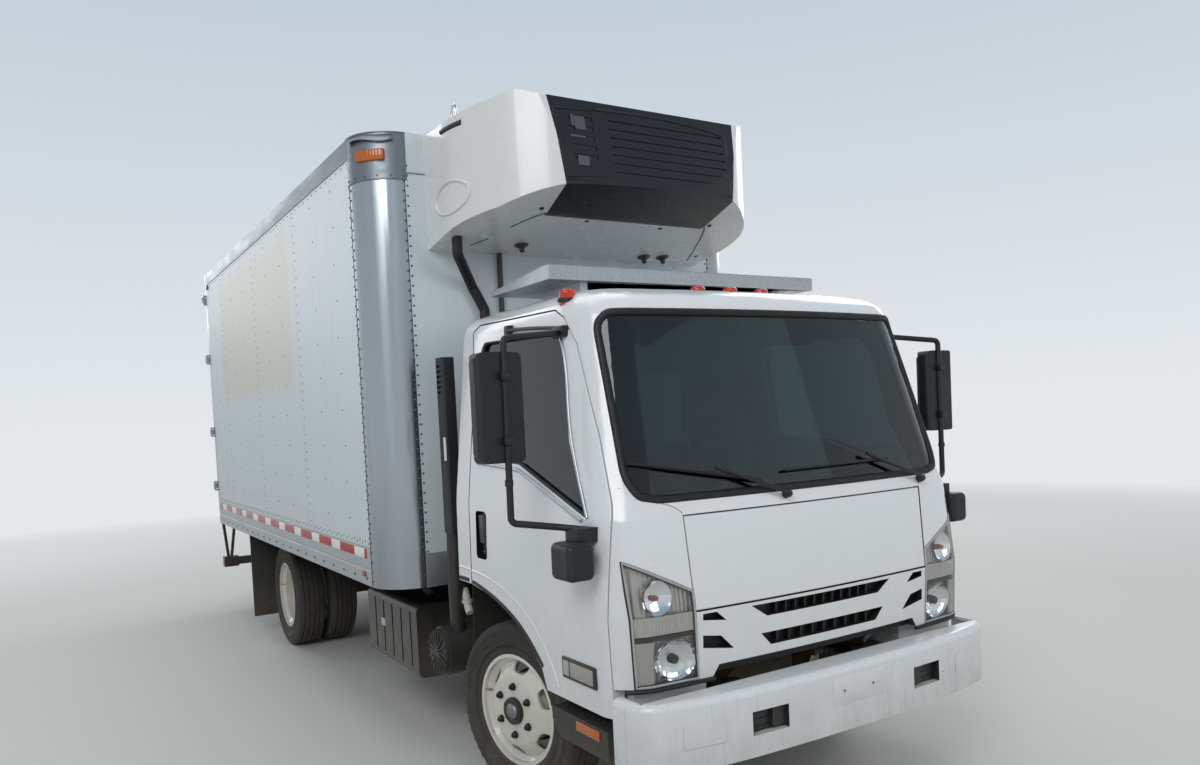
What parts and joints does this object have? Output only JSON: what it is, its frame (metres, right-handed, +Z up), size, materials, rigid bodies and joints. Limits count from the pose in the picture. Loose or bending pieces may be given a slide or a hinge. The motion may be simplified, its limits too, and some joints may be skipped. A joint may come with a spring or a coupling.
{
  "type": "refrigerated box truck",
  "caption": "Low-cab refrigerated truck with an insulated box body, nose-mounted cooling unit, twin rear wheels, tilting cab, opening doors and steering front wheels.",
  "frame": {"origin": "on the ground under the middle of the truck's overall length and width", "axes": "+X towards the truck's left side, +Y towards its tail, +Z up; the truck faces -Y"},
  "size_m": [2.7, 6.9598, 3.33],
  "materials": {
    "amber_lens": "amber red marker lens",
    "black_plastic": "grained black plastic",
    "body_panel": "white pre-painted aluminium sheet",
    "bright_aluminium": "polished aluminium extrusion",
    "bumper_plastic": "white moulded bumper",
    "cast": "cast and forged iron",
    "chassis_paint": "satin black chassis paint",
    "dark_plastic": "dark grey moulded plastic",
    "flap_rubber": "black rubber sheet",
    "glass": "tinted safety glass",
    "lamp_lens": "clear lamp lens",
    "seat_cloth": "grey seat cloth",
    "steel": "bare and galvanised steel",
    "tyre_rubber": "black tyre rubber",
    "unit_shell": "white moulded glass-fibre shell",
    "wheel_paint": "white painted steel disc wheel",
    "white_paint": "gloss white cab paint"
  },
  "bodies": {
    "root": {"air_intake": "black_plastic", "battery_box": "black_plastic", "bottom_rails": "bright_aluminium", "box_floor": "bright_aluminium", "box_front_wall": "body_panel", "box_roof": "body_panel", "box_wall_left": "body_panel", "box_wall_right": "body_panel", "cab_mount": "chassis_paint", "corner_posts": "bright_aluminium", "corner_steps": "black_plastic", "crossmembers": "chassis_paint", "drain_hose": "black_plastic", "driveshaft": "chassis_paint", "engine": "cast", "evaporator": "unit_shell", "exhaust": "steel", "floor_beams": "chassis_paint", "frame_rails": "chassis_paint", "front_axle": "chassis_paint", "front_bumper": "bumper_plastic", "fuel_tank": "chassis_paint", "leaf_springs": "chassis_paint", "mudflaps": "flap_rubber", "rear_axle": "chassis_paint", "rear_bumper": "chassis_paint", "rear_frame": "steel", "refrigeration_unit": "unit_shell", "unit_panel": "black_plastic"},
    "cab": {"cab_shell": "white_paint", "cab_glass": "glass", "headlamps": "lamp_lens", "roof_lamps": "amber_lens", "dashboard": "dark_plastic", "seats": "seat_cloth", "steering_wheel": "dark_plastic", "arch_liners": "black_plastic", "service_platform": "bright_aluminium", "grille": "black_plastic"},
    "front_lid": {"front_lid": "white_paint"},
    "door_left": {"door_left": "white_paint", "door_glass_left": "glass", "mirror_left": "black_plastic"},
    "door_right": {"door_right": "white_paint", "door_glass_right": "glass", "mirror_right": "black_plastic"},
    "knuckle_left": {"knuckle_left": "cast"},
    "knuckle_right": {"knuckle_right": "cast"},
    "tie_rod": {"tie_rod": "steel"},
    "front_wheel_left": {"front_tyre_left": "tyre_rubber", "front_rim_left": "wheel_paint"},
    "front_wheel_right": {"front_tyre_right": "tyre_rubber", "front_rim_right": "wheel_paint"},
    "rear_wheels_left": {"rear_tyres_left": "tyre_rubber", "rear_rims_left": "wheel_paint"},
    "rear_wheels_right": {"rear_tyres_right": "tyre_rubber", "rear_rims_right": "wheel_paint"},
    "cargo_door_left": {"cargo_door_left": "body_panel"},
    "cargo_door_right": {"cargo_door_right": "body_panel"}
  },
  "joints": [
    {"name": "cab_tilt", "type": "hinge", "parent": "root", "child": "cab", "pos_m": [0, -3.225, 0.78], "axis": [1, 0, 0], "range_deg": [0, 45]},
    {"name": "front_lid", "type": "hinge", "parent": "cab", "child": "front_lid", "pos_m": [0, -3.309, 1.343], "axis": [-1, 0, 0], "range_deg": [0, 75]},
    {"name": "door_left", "type": "hinge", "parent": "cab", "child": "door_left", "pos_m": [0.985, -3.17, 0.9], "axis": [0, 0, -1], "range_deg": [0, 70]},
    {"name": "door_right", "type": "hinge", "parent": "cab", "child": "door_right", "pos_m": [-0.985, -3.17, 0.9], "axis": [0, 0, 1], "range_deg": [0, 70]},
    {"name": "steering", "type": "hinge", "parent": "root", "child": "knuckle_left", "pos_m": [0.742, -2.245, 0.405], "axis": [0, 0, 1], "range_deg": [-47.5, 22.5]},
    {"name": "steering_right", "type": "hinge", "parent": "root", "child": "knuckle_right", "pos_m": [-0.742, -2.245, 0.405], "axis": [0, 0, 1], "range_deg": [-47.5, 22.5]},
    {"name": "tie_rod_swivel", "type": "hinge", "parent": "knuckle_left", "child": "tie_rod", "pos_m": [0.70629, -2.0839, 0.365], "axis": [0, 0, -1], "range_deg": [-47.5, 22.5]},
    {"name": "front_wheel_left_spin", "type": "hinge", "parent": "knuckle_left", "child": "front_wheel_left", "pos_m": [0.742, -2.245, 0.405], "axis": [0.9763, 0.2164, 0], "continuous": true},
    {"name": "front_wheel_right_spin", "type": "hinge", "parent": "knuckle_right", "child": "front_wheel_right", "pos_m": [-0.742, -2.245, 0.405], "axis": [0.9763, 0.2164, 0], "continuous": true},
    {"name": "rear_wheels_left_spin", "type": "hinge", "parent": "root", "child": "rear_wheels_left", "pos_m": [0.8255, 1.565, 0.405], "axis": [1, 0, 0], "continuous": true},
    {"name": "rear_wheels_right_spin", "type": "hinge", "parent": "root", "child": "rear_wheels_right", "pos_m": [-0.8255, 1.565, 0.405], "axis": [1, 0, 0], "continuous": true},
    {"name": "cargo_door_left", "type": "hinge", "parent": "root", "child": "cargo_door_left", "pos_m": [1.24, 3.467, 2.1], "axis": [0, 0, -1], "range_deg": [0, 270]},
    {"name": "cargo_door_right", "type": "hinge", "parent": "root", "child": "cargo_door_right", "pos_m": [-1.24, 3.467, 2.1], "axis": [0, 0, 1], "range_deg": [0, 270]}
  ],
  "couplings": [
    {"joint": "steering_right", "follows": "steering", "ratio": 1},
    {"joint": "tie_rod_swivel", "follows": "steering", "ratio": 1}
  ]
}
